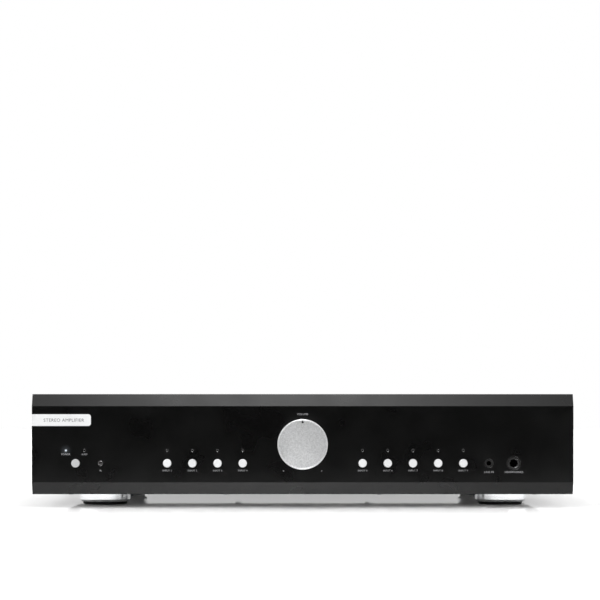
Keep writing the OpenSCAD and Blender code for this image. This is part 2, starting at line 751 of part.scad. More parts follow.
module transformer_bolt() color("silver") translate([toroid[0], toroid[1], 0]) {
    translate([0, 0, base_z]) cylinder(d = stud_d, h = toroid_z + toroid_h + washer_t - base_z);
    translate([0, 0, toroid_z + toroid_h + washer_t]) cylinder(d = bolt_head[0], h = bolt_head[1], $fn = 6);
}

module input_board() color("darkgreen") translate([0, input_y, input_board_z[0]])
    cube([phono_xs[5] + digital_x, board_t, input_board_z[1] - input_board_z[0]]);

// A flat cable that runs under the amplifier board from the control board to the input board
module ribbon_cable() color("lightgray") sweep_x(ribbon_x[0], ribbon_x[1]) {
    for (y = [control_y + board_t, input_y - ribbon_turn])
        translate([y, ribbon_z]) square([ribbon_turn, ribbon_t]);
    for (y = [control_y + board_t + ribbon_turn - ribbon_t, input_y - ribbon_turn])
        translate([y, ribbon_low]) square([ribbon_t, ribbon_z + ribbon_t - ribbon_low]);
    translate([control_y + board_t + ribbon_turn - ribbon_t, ribbon_low])
        square([input_y - control_y - board_t - 2 * ribbon_turn + 2 * ribbon_t, ribbon_t]);
}

// Two insulated wires along the floor, from the mains inlet to the transformer
module mains_wires() color("saddlebrown") for (x = wire_xs) {
    rod_y(wire_d, toroid[1] + wire_start, wire_y, x, wire_z);
    translate([x, wire_y, wire_z]) sphere(d = wire_d);
    translate([x, wire_y, wire_z]) cylinder(d = wire_d, h = post_z - wire_z);
    translate([x, wire_y, post_z]) sphere(d = wire_d);
    rod_y(wire_d, wire_y, rear_y - inlet_body[1], x, post_z);
}

// A phono socket: body, collar, shell, insulator and the bore for the plug's pin
module phono_socket(x, z) on_rear(x, z) difference() {
    union() {
        translate([0, 0, -sheet_t]) cylinder(d = phono_hole_d, h = sheet_t);
        cylinder(d = phono_collar[0], h = phono_collar[1]);
        cylinder(d = phono_d, h = phono_l);
        translate([-phono_body[0] / 2, -phono_body[1] / 2, -sheet_t - socket_block])
            cube([phono_body[0], phono_body[1], socket_block]);
    }
    translate([0, 0, phono_well_z]) difference() {
        cylinder(d = phono_d - 2 * phono_wall, h = phono_l);
        translate([0, 0, -1]) cylinder(d = phono_core_d, h = phono_l + 2);
    }
    translate([0, 0, -phono_pin_in]) cylinder(d = phono_pin_d, h = phono_l + phono_pin_in + 1);
}

module phono_sockets() color("silver") for (x = phono_xs) for (z = phono_zs) phono_socket(x, z);

module digital_sockets() color("#202020") {
    phono_socket(digital_x, phono_zs[0]);
    on_rear(digital_x, phono_zs[1]) difference() {
        translate([-optical[0] / 2, -optical[1] / 2, -sheet_t - socket_block])
            cube([optical[0], optical[1], sheet_t + socket_block + 1]);
        translate([-optical_mouth[0] / 2, -optical_mouth[1] / 2, -optical_mouth[2]])
            cube(optical_mouth + [0, 0, 2]);
    }
}

module mains_inlet() color("#202020") translate([inlet_x, rear_y, post_z]) difference() {
    union() {
        translate([-inlet_flange[0] / 2, 0, -inlet_flange[2] / 2]) cube(inlet_flange);
        translate([-inlet_body[0] / 2, -inlet_body[1], -inlet_body[2] / 2]) cube(inlet_body);
    }
    // The recess leaves three contact pins standing
    difference() {
        translate([-inlet_recess[0] / 2, -inlet_recess[1] + 1, -inlet_recess[2] / 2])
            cube(inlet_recess + [0, 2, 0]);
        for (p = pin_places) translate([p[0] - pin_size[0] / 2, -inlet_recess[1], p[1] - pin_size[2] / 2])
            cube(pin_size);
    }
    for (s = [-1, 1]) translate([s * inlet_screw[0], -1, 0]) rotate([-90, 0, 0])
        cylinder(d = inlet_screw[1], h = inlet_flange[1] + 2);
}

module rocker_frame() color("#202020") translate([rocker_x, 0, post_z]) difference() {
    union() {
        translate([-rocker_plate[0] / 2, rear_y, -rocker_plate[2] / 2]) cube(rocker_plate);
        translate([-rocker_box[0] / 2, rear_y - rocker_cup, -rocker_box[1] / 2])
            cube([rocker_box[0], rocker_cup, rocker_box[1]]);
    }
    translate([-rocker_window[0] / 2, rear_y - rocker_cup + rocker_wall, -rocker_window[1] / 2])
        cube([rocker_window[0], rocker_cup + 1, rocker_window[1]]);
    translate([-rocker_w / 2 - rocker_pin_l - rocker_pin_gap, rocker_pivot_y, 0]) rotate([0, 90, 0])
        cylinder(d = rocker_pin_d + 2 * run_gap, h = rocker_w + 2 * rocker_pin_l + 2 * rocker_pin_gap);
}

// The rocker rests tilted towards off, its pivot pins in the frame's walls
module mains_rocker() color("#181818")
    translate([rocker_x, rocker_pivot_y, post_z]) rotate([-rocker_tilt, 0, 0]) {
        translate([-rocker_w / 2, 0, 0]) rotate([90, 0, 90]) linear_extrude(rocker_w)
            polygon([[-4, -5], [4.2, -7.4], [3, 0], [4.2, 7.4], [-4, 5]]);
        translate([-rocker_w / 2 - rocker_pin_l, 0, 0]) rotate([0, 90, 0])
            cylinder(d = rocker_pin_d, h = rocker_w + 2 * rocker_pin_l);
    }

module speaker_posts() color("#b8963c") for (x = post_xs) on_rear(x, post_z) difference() {
    union() {
        cylinder(d = post_flange_d, h = post_flange_t);
        translate([0, 0, -sheet_t]) cylinder(d = post_hole_d, h = sheet_t + 1);
        translate([0, 0, -sheet_t - post_nut[1]]) cylinder(d = post_nut[0], h = post_nut[1]);
        translate([0, 0, -sheet_t - post_tail])
            cylinder(d = post_stem_d, h = sheet_t + post_tail + post_reach - 1);
    }
    translate([0, 0, post_flange_t - 1]) cylinder(d = post_bore, h = post_reach);
}

// A terminal cap with twelve finger grooves
module speaker_cap(i) color(i % 2 == 0 ? "firebrick" : "#181818") on_rear(post_xs[i], post_z) difference() {
    rotate_extrude() polygon([
        [post_stem_d / 2 + run_gap, post_flange_t + wire_gap],
        [post_d / 2 - 1, post_flange_t + wire_gap],
        [post_d / 2, post_flange_t + wire_gap + 1],
        [post_d / 2, post_reach - 1],
        [post_d / 2 - 1, post_reach],
        [post_stem_d / 2 + run_gap, post_reach]
    ]);
    for (a = [0 : groove_step : 360 - groove_step]) rotate(a)
        translate([post_d / 2 + groove_d / 5, 0, post_flange_t + groove_start])
            cylinder(d = groove_d, h = post_reach);
}

front_panel();
name_plate();
front_subpanel();
base_tray();
rear_panel();
top_cover();
cover_screws();
chassis_screws();
board_screws();
foot_pads();
foot_screws();
volume_knob();
knob_set_screw();
volume_shaft();
volume_control();
control_nut();
control_board();
push_switches();
source_lights();
power_light();
standby_light();
remote_eye();
line_in_socket();
headphone_socket();
headphone_board();
amplifier_board();
board_standoffs();
heat_sink();
power_transistors();
filter_capacitors();
transformer();
transformer_washers();
transformer_bolt();
input_board();
ribbon_cable();
mains_wires();
phono_sockets();
digital_sockets();
mains_inlet();
rocker_frame();
mains_rocker();
speaker_posts();
power_button();
for (i = [1 : 4]) foot_ring(i - 1);
for (i = [1 : 4]) speaker_cap(i - 1);
for (i = [1 : 9]) source_button(i - 1);
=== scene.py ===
"""Looks of the stereo amplifier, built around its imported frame. Metres, +Z up, the front faces -Y."""

import math

import bmesh
import bpy
from mathutils import Matrix, Vector


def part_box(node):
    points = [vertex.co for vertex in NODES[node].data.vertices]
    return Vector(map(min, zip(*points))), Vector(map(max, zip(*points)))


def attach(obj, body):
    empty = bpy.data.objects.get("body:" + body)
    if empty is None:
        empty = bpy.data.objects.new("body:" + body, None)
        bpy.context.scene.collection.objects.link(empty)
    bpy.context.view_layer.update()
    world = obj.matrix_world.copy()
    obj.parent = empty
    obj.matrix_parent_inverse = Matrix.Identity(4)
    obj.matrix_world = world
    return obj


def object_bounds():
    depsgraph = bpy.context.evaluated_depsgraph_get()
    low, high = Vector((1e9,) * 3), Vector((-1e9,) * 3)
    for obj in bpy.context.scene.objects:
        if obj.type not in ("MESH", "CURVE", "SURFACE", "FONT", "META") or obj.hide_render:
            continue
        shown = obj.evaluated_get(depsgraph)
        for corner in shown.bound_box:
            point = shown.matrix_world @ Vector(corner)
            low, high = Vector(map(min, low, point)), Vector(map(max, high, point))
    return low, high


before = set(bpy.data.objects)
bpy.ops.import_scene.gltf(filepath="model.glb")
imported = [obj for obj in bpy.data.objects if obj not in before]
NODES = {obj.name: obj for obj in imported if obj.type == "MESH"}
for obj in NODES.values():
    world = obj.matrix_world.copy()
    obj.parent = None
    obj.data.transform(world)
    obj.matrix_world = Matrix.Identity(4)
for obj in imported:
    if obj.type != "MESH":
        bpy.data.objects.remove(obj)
CAD_BOX = [list(corner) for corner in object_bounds()]
MM = 0.001
scene = bpy.context.scene


def middle(node):
    """The middle of a node's box."""
    low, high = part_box(node)
    return (low + high) / 2


# Planes and places, all read from the frame
FACE_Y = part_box("front_panel")[0].y
REAR_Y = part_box("rear_panel")[1].y
KNOB = middle("volume_knob")
BUTTON_Z = middle("power_button").z
LIGHT_Z = middle("power_light").z
LIT_POINT = (middle("power_light").x, FACE_Y, LIGHT_Z)
SOURCES = [f"source_button_{i}" for i in range(1, 10)]
POSTS = [f"speaker_cap_{i}" for i in range(1, 5)]
RINGS = [f"foot_ring_{i}" for i in range(1, 5)]


# ---------------------------------------------------------------- camera
CAMERA_DISTANCE = 1.675  # from the panel's face
CAMERA_HEIGHT = 0.0812
SENSOR = 36
LENS = 123.72
SHIFT = (-0.0044, 0.18)

camera_data = bpy.data.cameras.new("camera")
camera_data.sensor_width = SENSOR
camera_data.lens = LENS
camera_data.shift_x, camera_data.shift_y = SHIFT
camera_data.clip_start = 0.01
camera = bpy.data.objects.new("camera", camera_data)
camera.location = (0, FACE_Y - CAMERA_DISTANCE, CAMERA_HEIGHT)
camera.rotation_euler = (math.radians(90), 0, 0)
scene.collection.objects.link(camera)
scene.camera = camera


# ---------------------------------------------------------------- materials
class Nodes:
    """A short way to build a node tree. An input given as a socket is linked, and any other is set."""

    def __init__(self, tree, fresh=True):
        self.tree = tree
        if fresh:
            tree.nodes.clear()

    def add(self, kind, inputs=(), **settings):
        node = self.tree.nodes.new(kind)
        for name, value in settings.items():
            setattr(node, name, value)
        for name, value in dict(inputs).items():
            if isinstance(value, bpy.types.NodeSocket):
                self.tree.links.new(value, node.inputs[name])
            else:
                node.inputs[name].default_value = value
        return node


def rgba(colour):
    """A grey or a (red, green, blue) colour as an opaque RGBA."""
    if isinstance(colour, (int, float)):
        colour = (colour,) * 3
    return (*colour, 1.0)


NOISE_LOW, NOISE_HIGH = 0.3, 0.7  # a noise texture's usual range
SLOW_SCALE = 35.0  # the slow variation's waves to a metre
COAT_ROUGH = 0.08


def spread_of(n, value, low, high):
    """Maps a noise's usual range onto low to high."""
    inputs = {"Value": value, "From Min": NOISE_LOW, "From Max": NOISE_HIGH, "To Min": low, "To Max": high}
    return n.add("ShaderNodeMapRange", inputs).outputs["Result"]


def surface(name, colour, rough, metal=0.0, specular=0.5, grain=0.4, tooth=0.01, tone=0.12,
            stretch=(1, 1, 1), coat=0.0, blotch=0.06, spread=0.05, edge=0.0):
    """A solid material. grain is the size of its texture and tooth its depth, in millimetres. tone is how
    far the grain changes the colour, blotch how far a slow variation does, and spread how far the roughness
    wanders. edge is the radius in millimetres to which its sharp edges look rounded."""
    material = bpy.data.materials.new(name)
    material.use_nodes = True
    n = Nodes(material.node_tree)
    place = n.add("ShaderNodeTexCoord").outputs["Object"]
    stretched = n.add("ShaderNodeMapping", {"Vector": place, "Scale": stretch}).outputs["Vector"]
    fine_inputs = {"Vector": stretched, "Scale": 1 / (grain * MM), "Detail": 3.0}
    fine = n.add("ShaderNodeTexNoise", fine_inputs).outputs["Fac"]
    slow_inputs = {"Vector": place, "Scale": SLOW_SCALE, "Detail": 2.0}
    slow = n.add("ShaderNodeTexNoise", slow_inputs).outputs["Fac"]
    fine_gain = spread_of(n, fine, 1 - tone, 1 + tone)
    slow_gain = spread_of(n, slow, 1 - blotch, 1 + blotch)
    gain = n.add("ShaderNodeMath", {0: fine_gain, 1: slow_gain}, operation="MULTIPLY").outputs["Value"]
    tint = n.add("ShaderNodeVectorMath", {0: rgba(colour)[:3], "Scale": gain}, operation="SCALE")
    bump = n.add("ShaderNodeBump", {"Height": fine, "Strength": 1.0, "Distance": tooth * MM})
    if edge:
        rounding = n.add("ShaderNodeBevel", {"Radius": edge * MM}, samples=6).outputs["Normal"]
        n.tree.links.new(rounding, bump.inputs["Normal"])
    shader = n.add("ShaderNodeBsdfPrincipled", {
        "Base Color": tint.outputs["Vector"],
        "Roughness": spread_of(n, slow, rough - spread, rough + spread),
        "Metallic": metal,
        "Specular IOR Level": specular,
        "Normal": bump.outputs["Normal"],
        "Coat Weight": coat,
        "Coat Roughness": COAT_ROUGH})
    n.add("ShaderNodeOutputMaterial", {"Surface": shader.outputs["BSDF"]})
    return material


LAMP_COLOUR = (0.80, 0.90, 1.0, 1.0)


def glow(material, centre, near, far, bright, dim, through=False):
    """Makes a material glow round the point centre, from bright at near millimetres down to dim at far.
    through measures from the line along Y through centre, so that the glow is the same at any depth."""
    n = Nodes(material.node_tree, fresh=False)
    place = n.add("ShaderNodeTexCoord").outputs["Object"]
    if through:
        flatten = {0: place, 1: (1.0, 0.0, 1.0)}
        place = n.add("ShaderNodeVectorMath", flatten, operation="MULTIPLY").outputs["Vector"]
        centre = (centre[0], 0, centre[2])
    away = n.add("ShaderNodeVectorMath", {0: place, 1: centre}, operation="DISTANCE").outputs["Value"]
    falloff = {"Value": away, "From Min": near * MM, "From Max": far * MM, "To Min": bright, "To Max": dim}
    strength = n.add("ShaderNodeMapRange", falloff, interpolation_type="SMOOTHSTEP").outputs["Result"]
    shader = next(x for x in n.tree.nodes if x.type == "BSDF_PRINCIPLED")
    shader.inputs["Emission Color"].default_value = LAMP_COLOUR
    n.tree.links.new(strength, shader.inputs["Emission Strength"])
    return material


def anodised_panel():
    """Bead-blasted black anodising, with a faint painted glow round the power light: the light's halo on
    the panel, painted as emission.
    """
    material = surface("black_anodised", 0.0018, 0.30, specular=0.37, grain=0.55, tooth=0.016, tone=0.35,
                       edge=0.35)
    # Painted light: the panel itself glows faintly round the lit power light
    return glow(material, LIT_POINT, 1.2, 5.4, 0.028, 0.0)


def lit_guide():
    """A light guide with a bright spot at its middle, where the lamp behind it shines through."""
    material = surface("lit_guide", (0.30, 0.33, 0.36), 0.20, grain=0.8, tooth=0.004, tone=0.05)
    return glow(material, LIT_POINT, 0.15, 0.85, 0.9, 0.03, through=True)


MAT = {
    "panel": anodised_panel(),
    "plate": surface("plate_metal", (0.66, 0.665, 0.67), 0.40, metal=0.08, grain=0.5, tooth=0.003,
                     tone=0.02, edge=0.15),
    "knob": surface("knob_metal", (0.66, 0.665, 0.67), 0.48, metal=0.65, grain=0.95, tooth=0.022,
                    tone=0.15, edge=0.12),
    "button": surface("button_metal", (0.68, 0.685, 0.69), 0.36, metal=0.10, grain=0.3, tooth=0.004,
                      tone=0.03, edge=0.1),
    "power": surface("power_button_metal", (0.56, 0.565, 0.57), 0.36, metal=0.30, grain=0.3, tooth=0.004,
                     tone=0.04, edge=0.1),
    "powder": surface("black_powder_coat", 0.007, 0.50, specular=0.34, grain=0.9, tooth=0.06, tone=0.25,
                      blotch=0.03, spread=0.012, edge=0.3),
    "sink": surface("black_heat_sink", 0.016, 0.40, specular=0.4, grain=0.5, tooth=0.01, tone=0.25),
    "zinc": surface("zinc_steel", (0.56, 0.57, 0.58), 0.36, metal=1.0, grain=4.0, tooth=0.006, tone=0.10,
                    stretch=(1, 6, 6)),
    "chrome": surface("bright_plating", (0.74, 0.75, 0.76), 0.08, metal=1.0, grain=6.0, tooth=0.002,
                      tone=0.02, spread=0.03),
    "rubber": surface("foot_rubber", 0.012, 0.78, specular=0.25, grain=0.5, tooth=0.03, tone=0.2),
    "black_screw": surface("black_screw", 0.02, 0.35, metal=0.5, grain=0.4, tooth=0.006, tone=0.2),
    "zinc_screw": surface("zinc_screw", (0.60, 0.60, 0.62), 0.30, metal=1.0, grain=0.5, tooth=0.004,
                          tone=0.1),
    "brass": surface("turned_brass", (0.72, 0.53, 0.25), 0.28, metal=1.0, grain=0.5, tooth=0.004,
                     tone=0.08),
    "gold": surface("gold_plating", (0.86, 0.66, 0.32), 0.20, metal=1.0, grain=0.6, tooth=0.003, tone=0.05),
    "nickel": surface("nickel_plating", (0.72, 0.70, 0.66), 0.22, metal=1.0, grain=0.6, tooth=0.003,
                      tone=0.05),
    "plastic": surface("black_moulding", 0.014, 0.36, specular=0.45, grain=0.7, tooth=0.012, tone=0.2,
                       edge=0.2),
    "socket": surface("socket_moulding", 0.020, 0.26, specular=0.6, grain=0.7, tooth=0.006, tone=0.15,
                      edge=0.1),
    "collar": surface("glossy_moulding", 0.006, 0.14, specular=0.75, grain=0.7, tooth=0.002, tone=0.1),
    "guide": surface("light_guide", (0.010, 0.011, 0.012), 0.18, specular=0.3, grain=0.8, tooth=0.004,
                     tone=0.08),
    "lit": lit_guide(),
    "eye": surface("eye_filter", (0.012, 0.010, 0.011), 0.06, specular=0.8, grain=1.5, tooth=0.002,
                   tone=0.1, coat=1.0),
    "board": surface("circuit_board", (0.018, 0.115, 0.050), 0.30, grain=1.6, tooth=0.02, tone=0.35,
                     coat=0.4),
    "sleeve": surface("capacitor_sleeve", (0.020, 0.040, 0.100), 0.25, grain=2.0, tooth=0.01, tone=0.15),
    "winding": surface("wound_tape", (0.36, 0.21, 0.06), 0.45, grain=2.2, tooth=0.12, tone=0.3,
                       stretch=(1, 1, 4)),
    "sheath": surface("wire_sheath", (0.22, 0.11, 0.045), 0.50, grain=0.9, tooth=0.01, tone=0.15),
    "ribbon": surface("flat_cable", (0.52, 0.52, 0.53), 0.50, grain=1.27, tooth=0.15, tone=0.25,
                      stretch=(1, 0.02, 0.02)),
    "red": surface("red_moulding", (0.42, 0.012, 0.014), 0.28, grain=0.8, tooth=0.006, tone=0.1, coat=0.2),
    "white": surface("white_moulding", (0.80, 0.79, 0.76), 0.32, grain=0.8, tooth=0.006, tone=0.05),
    "orange": surface("orange_moulding", (0.80, 0.24, 0.03), 0.32, grain=0.8, tooth=0.006, tone=0.08),
    "ink": surface("printed_ink", (0.30, 0.30, 0.31), 0.60, grain=0.2, tooth=0.004, tone=0.10),
    "grey_ink": surface("grey_ink", (0.06, 0.06, 0.065), 0.60, grain=0.2, tooth=0.004, tone=0.10),
}

FINISH = {
    "panel": ["front_panel"],
    "sink": ["heat_sink"],
    "plate": ["name_plate"],
    "knob": ["volume_knob"],
    "button": SOURCES,
    "power": ["power_button"],
    "powder": ["top_cover", "base_tray", "rear_panel"],
    "zinc": ["front_subpanel", "volume_shaft", "volume_control", "transformer_washers"],
    "chrome": RINGS,
    "rubber": ["foot_pads"],
    "black_screw": ["cover_screws", "knob_set_screw"],
    "zinc_screw": ["chassis_screws", "board_screws", "foot_screws", "transformer_bolt", "control_nut"],
    "brass": ["board_standoffs"],
    "gold": ["speaker_posts"],
    "nickel": ["phono_sockets"],
    "plastic": ["push_switches", "power_transistors", "digital_sockets", "mains_inlet", "rocker_frame",
                "mains_rocker", "speaker_cap_2", "speaker_cap_4"],
    "socket": ["line_in_socket", "headphone_socket"],
    "red": ["speaker_cap_1", "speaker_cap_3"],
    "guide": ["source_lights", "standby_light"],
    "lit": ["power_light"],
    "eye": ["remote_eye"],
    "board": ["control_board", "headphone_board", "amplifier_board", "input_board"],
    "sleeve": ["filter_capacitors"],
    "winding": ["transformer"],
    "sheath": ["mains_wires"],
    "ribbon": ["ribbon_cable"],
}
for finish, names in FINISH.items():
    for name in names:
        NODES[name].data.materials.clear()
        NODES[name].data.materials.append(MAT[finish])


# ---------------------------------------------------------------- mesh helpers
def piece(name, mesh_data, material, body, smooth=30):
    """Finishes a bmesh as an object that rides on a body."""
    mesh = bpy.data.meshes.new(name)
    mesh_data.to_mesh(mesh)
    mesh_data.free()
    mesh.materials.append(material)
    for polygon in mesh.polygons:
        polygon.use_smooth = True
    mesh.set_sharp_from_angle(angle=math.radians(smooth))
    thing = bpy.data.objects.new(name, mesh)
    scene.collection.objects.link(thing)
    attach(thing, body)


TO_FRONT = (0, -1, 0)
TO_REAR = (0, 1, 0)
CORE_R = 0.05 * MM  # a lathed outline stays this far from its axis, so that no ring shrinks to a point


def lathe(target, profile, place, facing, segments):
    """Turns a closed (radius, height) outline about an axis through place that points along facing."""
    turn = Vector((0, 0, 1)).rotation_difference(Vector(facing)).to_matrix()
    rings = []
    for radius, height in profile:
        ring = []
        for i in range(segments):
            angle = 2 * math.pi * i / segments
            point = turn @ Vector((radius * math.cos(angle), radius * math.sin(angle), height))
            ring.append(target.verts.new(Vector(place) + point))
        rings.append(ring)
    for a, b in zip(rings, rings[1:] + rings[:1]):
        for i in range(segments):
            j = (i + 1) % segments
            target.faces.new((a[i], a[j], b[j], b[i]))
    bmesh.ops.recalc_face_normals(target, faces=target.faces)


CAP_IN_SIZE = 0.70  # a capital's height as a share of the font's size
LETTER_SPACING = 1.08
INK_HALF = 0.03 * MM  # half the letters' thickness
INK_GAP = 0.02 * MM  # from a surface to the middle of the letters on it


def lettering(target, text, x, y, z, cap, back=False):
    """Adds raised letters, cap high and centred on x and z, to a bmesh. back faces them to +Y."""
    curve = bpy.data.curves.new("letters", "FONT")
    curve.body = text
    curve.align_x = "CENTER"
    curve.resolution_u = 3
    curve.size = cap / CAP_IN_SIZE
    curve.extrude = INK_HALF
    curve.space_character = LETTER_SPACING
    flat = bpy.data.objects.new("letters", curve)
    scene.collection.objects.link(flat)
    bpy.context.view_layer.update()
    mesh = bpy.data.meshes.new_from_object(flat.evaluated_get(bpy.context.evaluated_depsgraph_get()))
    upright = Matrix.Rotation(math.radians(90), 4, "X")
    if back:
        upright = Matrix.Rotation(math.pi, 4, "Z") @ upright
    mesh.transform(Matrix.Translation((x, y, z)) @ upright @ Matrix.Translation((0, -cap / 2, 0)))
    target.from_mesh(mesh)
    bpy.data.meshes.remove(mesh)
    bpy.data.objects.remove(flat)
    bpy.data.curves.remove(curve)


# ---------------------------------------------------------------- printing on the front
CAP = 1.4 * MM
LABEL_Z = BUTTON_Z - 5.9 * MM
SOCKET_LABEL_Z = LABEL_Z - 1.2 * MM
STATUS_Z = LIGHT_Z - 3.1 * MM
VOLUME_Z = KNOB.z + 24.3 * MM

front_labels = [(f"INPUT {number}", name, LABEL_Z, CAP) for number, name in enumerate(SOURCES, 1)]
front_labels += [
    ("POWER", "power_light", STATUS_Z, CAP),
    ("SLEEP", "standby_light", STATUS_Z, 0.9 * CAP),
    ("IR", "remote_eye", LABEL_Z, CAP),
    ("LINE IN", "line_in_socket", SOCKET_LABEL_Z, 1.1 * CAP),
    ("HEADPHONES", "headphone_socket", SOCKET_LABEL_Z, 1.1 * CAP),
    ("VOLUME", "volume_knob", VOLUME_Z, 1.1 * CAP),
]
front = bmesh.new()
for words, node, z, cap in front_labels:
    lettering(front, words, middle(node).x, FACE_Y - INK_GAP, z, cap)
piece("front_lettering", front, MAT["ink"], "cabinet", smooth=60)

# Two dots mark the ends of the volume's travel
DOT_R = 0.45 * MM
DOT_SIDE = 15.5 * MM
DOT_DROP = 21.8 * MM
DOT = [(CORE_R, 0), (DOT_R, 0), (DOT_R - 0.05 * MM, 0.05 * MM), (CORE_R, 0.06 * MM)]
dots = bmesh.new()
for side in (-1, 1):
    lathe(dots, DOT, (KNOB.x + side * DOT_SIDE, FACE_Y, KNOB.z - DOT_DROP), TO_FRONT, segments=24)
piece("travel_dots", dots, MAT["ink"], "cabinet")


# ---------------------------------------------------------------- small parts on the front
# A dark glossy fill darkens the bottom of the knob's pointer dimple
DIMPLE_R = 0.93 * MM
DIMPLE_UP = 17.9 * MM
DIMPLE_DEEP = 0.98 * MM
DIMPLE_FILL = [(CORE_R, 0), (DIMPLE_R, 0), (DIMPLE_R, 0.5 * MM), (0.7 * DIMPLE_R, 0.3 * MM),
           (CORE_R, 0.2 * MM)]
knob_face_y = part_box("volume_knob")[0].y
dimple_fill = bmesh.new()
lathe(dimple_fill, DIMPLE_FILL, (KNOB.x, knob_face_y + DIMPLE_DEEP, KNOB.z + DIMPLE_UP), TO_FRONT, segments=32)
piece("knob_mark", dimple_fill, MAT["socket"], "volume_knob")

# A small glossy collar seats each light guide in its hole, and catches the light along its lower edge
COLLAR_OUT = 1.08 * MM
COLLAR_IN = 0.62 * MM
COLLAR_BACK = -0.95 * MM
COLLAR_MOUTH = [(COLLAR_IN, COLLAR_BACK), (COLLAR_OUT, COLLAR_BACK), (COLLAR_OUT, -0.08 * MM),
                (COLLAR_IN, -0.45 * MM)]
mouths = bmesh.new()
for x in [middle(name).x for name in SOURCES] + [middle("standby_light").x]:
    lathe(mouths, COLLAR_MOUTH, (x, FACE_Y, LIGHT_Z), TO_FRONT, segments=32)
piece("light_collars", mouths, MAT["collar"], "cabinet")

# The remote eye's polished dome, seated on its filter
EYE_R = 2.2 * MM
EYE_H = 1.15 * MM
EYE_STEPS = 12
EYE_SEAT = -0.1 * MM
EYE_CORE = 0.1 * MM
eye_angles = [math.radians(90 * i / EYE_STEPS) for i in range(EYE_STEPS)]
eye_arc = [(EYE_R * math.cos(a), EYE_H * math.sin(a)) for a in eye_angles]
eye_outline = eye_arc + [(EYE_CORE, EYE_H), (EYE_CORE, EYE_SEAT), (EYE_R, EYE_SEAT)]
dome = bmesh.new()
lathe(dome, eye_outline, (middle("remote_eye").x, FACE_Y, BUTTON_Z), TO_FRONT, segments=48)
piece("eye_dome", dome, MAT["eye"], "cabinet", smooth=50)

# Plain words on the bright plate
PLATE_CAP = 2.6 * MM
PLATE_SHIFT = 2 * MM  # the words sit right of the plate's middle
plate = bmesh.new()
plate_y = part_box("name_plate")[0].y
plate_middle = middle("name_plate")
lettering(plate, "STEREO AMPLIFIER", plate_middle.x + PLATE_SHIFT, plate_y - INK_GAP, plate_middle.z,
          PLATE_CAP)
piece("plate_lettering", plate, MAT["grey_ink"], "cabinet", smooth=60)


# ---------------------------------------------------------------- rear terminals
PHONO_HALF_W = 6.5 * MM
PHONO_HALF_H = 7 * MM
PHONO_COUNT = 6
PHONO_LOW, PHONO_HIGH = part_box("phono_sockets")
FIRST_X = PHONO_LOW.x + PHONO_HALF_W
PHONO_PITCH = (PHONO_HIGH.x - PHONO_HALF_W - FIRST_X) / (PHONO_COUNT - 1)
PHONO_X = [FIRST_X + PHONO_PITCH * i for i in range(PHONO_COUNT)]
ROW_Z = (PHONO_LOW.z + PHONO_HALF_H, PHONO_HIGH.z - PHONO_HALF_H)
COLLAR = [(4.17 * MM, 1.2 * MM), (6.4 * MM, 1.2 * MM), (6.4 * MM, 1.7 * MM), (5.9 * MM, 2.1 * MM),
          (4.17 * MM, 2.1 * MM)]
INSULATOR = [(2.52 * MM, 1.6 * MM), (3.62 * MM, 1.6 * MM), (3.62 * MM, 8.7 * MM), (3.30 * MM, 9.1 * MM),
             (1.75 * MM, 9.1 * MM), (1.75 * MM, 9.02 * MM), (2.52 * MM, 9.02 * MM)]


def phono_trim(name, profile, places, material):
    """One ring of the profile round each socket in places."""
    rings = bmesh.new()
    for x, z in places:
        lathe(rings, profile, (x, REAR_Y, z), TO_REAR, segments=48)
    piece(name, rings, material, "cabinet")


COAXIAL = (middle("digital_sockets").x, ROW_Z[0])
RED_ROW = [(x, ROW_Z[0]) for x in PHONO_X]
WHITE_ROW = [(x, ROW_Z[1]) for x in PHONO_X]
phono_trim("phono_collars_red", COLLAR, RED_ROW, MAT["red"])
phono_trim("phono_collars_white", COLLAR, WHITE_ROW, MAT["white"])
phono_trim("phono_insulators", INSULATOR, RED_ROW + WHITE_ROW + [COAXIAL], MAT["white"])
phono_trim("coaxial_collar", COLLAR, [COAXIAL], MAT["orange"])

# The red caps are the positive terminals and the black ones the negative
RED_POSTS = POSTS[0::2]
BLACK_POSTS = POSTS[1::2]
WASHER = [(8.02 * MM, 0), (9.0 * MM, 0), (9.0 * MM, 1.6 * MM), (8.5 * MM, 2.2 * MM), (8.02 * MM, 2.2 * MM)]


def terminal_washers(name, posts, material):
    """A flanged washer under each speaker terminal in posts."""
    washers = bmesh.new()
    for post in posts:
        lathe(washers, WASHER, (middle(post).x, REAR_Y, middle(post).z), TO_REAR, segments=64)
    piece(name, washers, material, "cabinet")


terminal_washers("terminal_washers_red", RED_POSTS, MAT["red"])
terminal_washers("terminal_washers_black", BLACK_POSTS, MAT["plastic"])

# The mains inlet's three flat metal pins, each a sleeve with a bevelled tip over its moulded core
PIN_SIZE = (2.2 * MM, 13.5 * MM, 4.2 * MM)
PIN_BEVEL = 0.5 * MM
PIN_PLACES = [(-7 * MM, -2 * MM), (7 * MM, -2 * MM), (0, 2 * MM)]
PIN_TIP_Y = REAR_Y - 1.9 * MM
inlet = middle("mains_inlet")
pins = bmesh.new()
for x, z in PIN_PLACES:
    centre = (inlet.x + x, PIN_TIP_Y - PIN_SIZE[1] / 2, inlet.z + z)
    bmesh.ops.create_cube(pins, size=1, matrix=Matrix.LocRotScale(centre, None, PIN_SIZE))
bmesh.ops.bevel(pins, geom=list(pins.edges), offset=PIN_BEVEL, segments=2, affect="EDGES")
piece("mains_pins", pins, MAT["nickel"], "cabinet")


# ---------------------------------------------------------------- printing on the rear
REAR_CAP = 2.2 * MM
SMALL_CAP = 2.0 * MM
SIGN_CAP = 2.6 * MM
PHONO_CLEAR = 9.5 * MM  # from a socket's axis to the middle of its label
POST_CLEAR = 13 * MM
SPEAKERS_UP = 19 * MM
MAINS_DOWN = 16 * MM
POST_Z = middle(POSTS[0]).z


def between(first, second):
    """The x half way between two nodes."""
    return (middle(first).x + middle(second).x) / 2


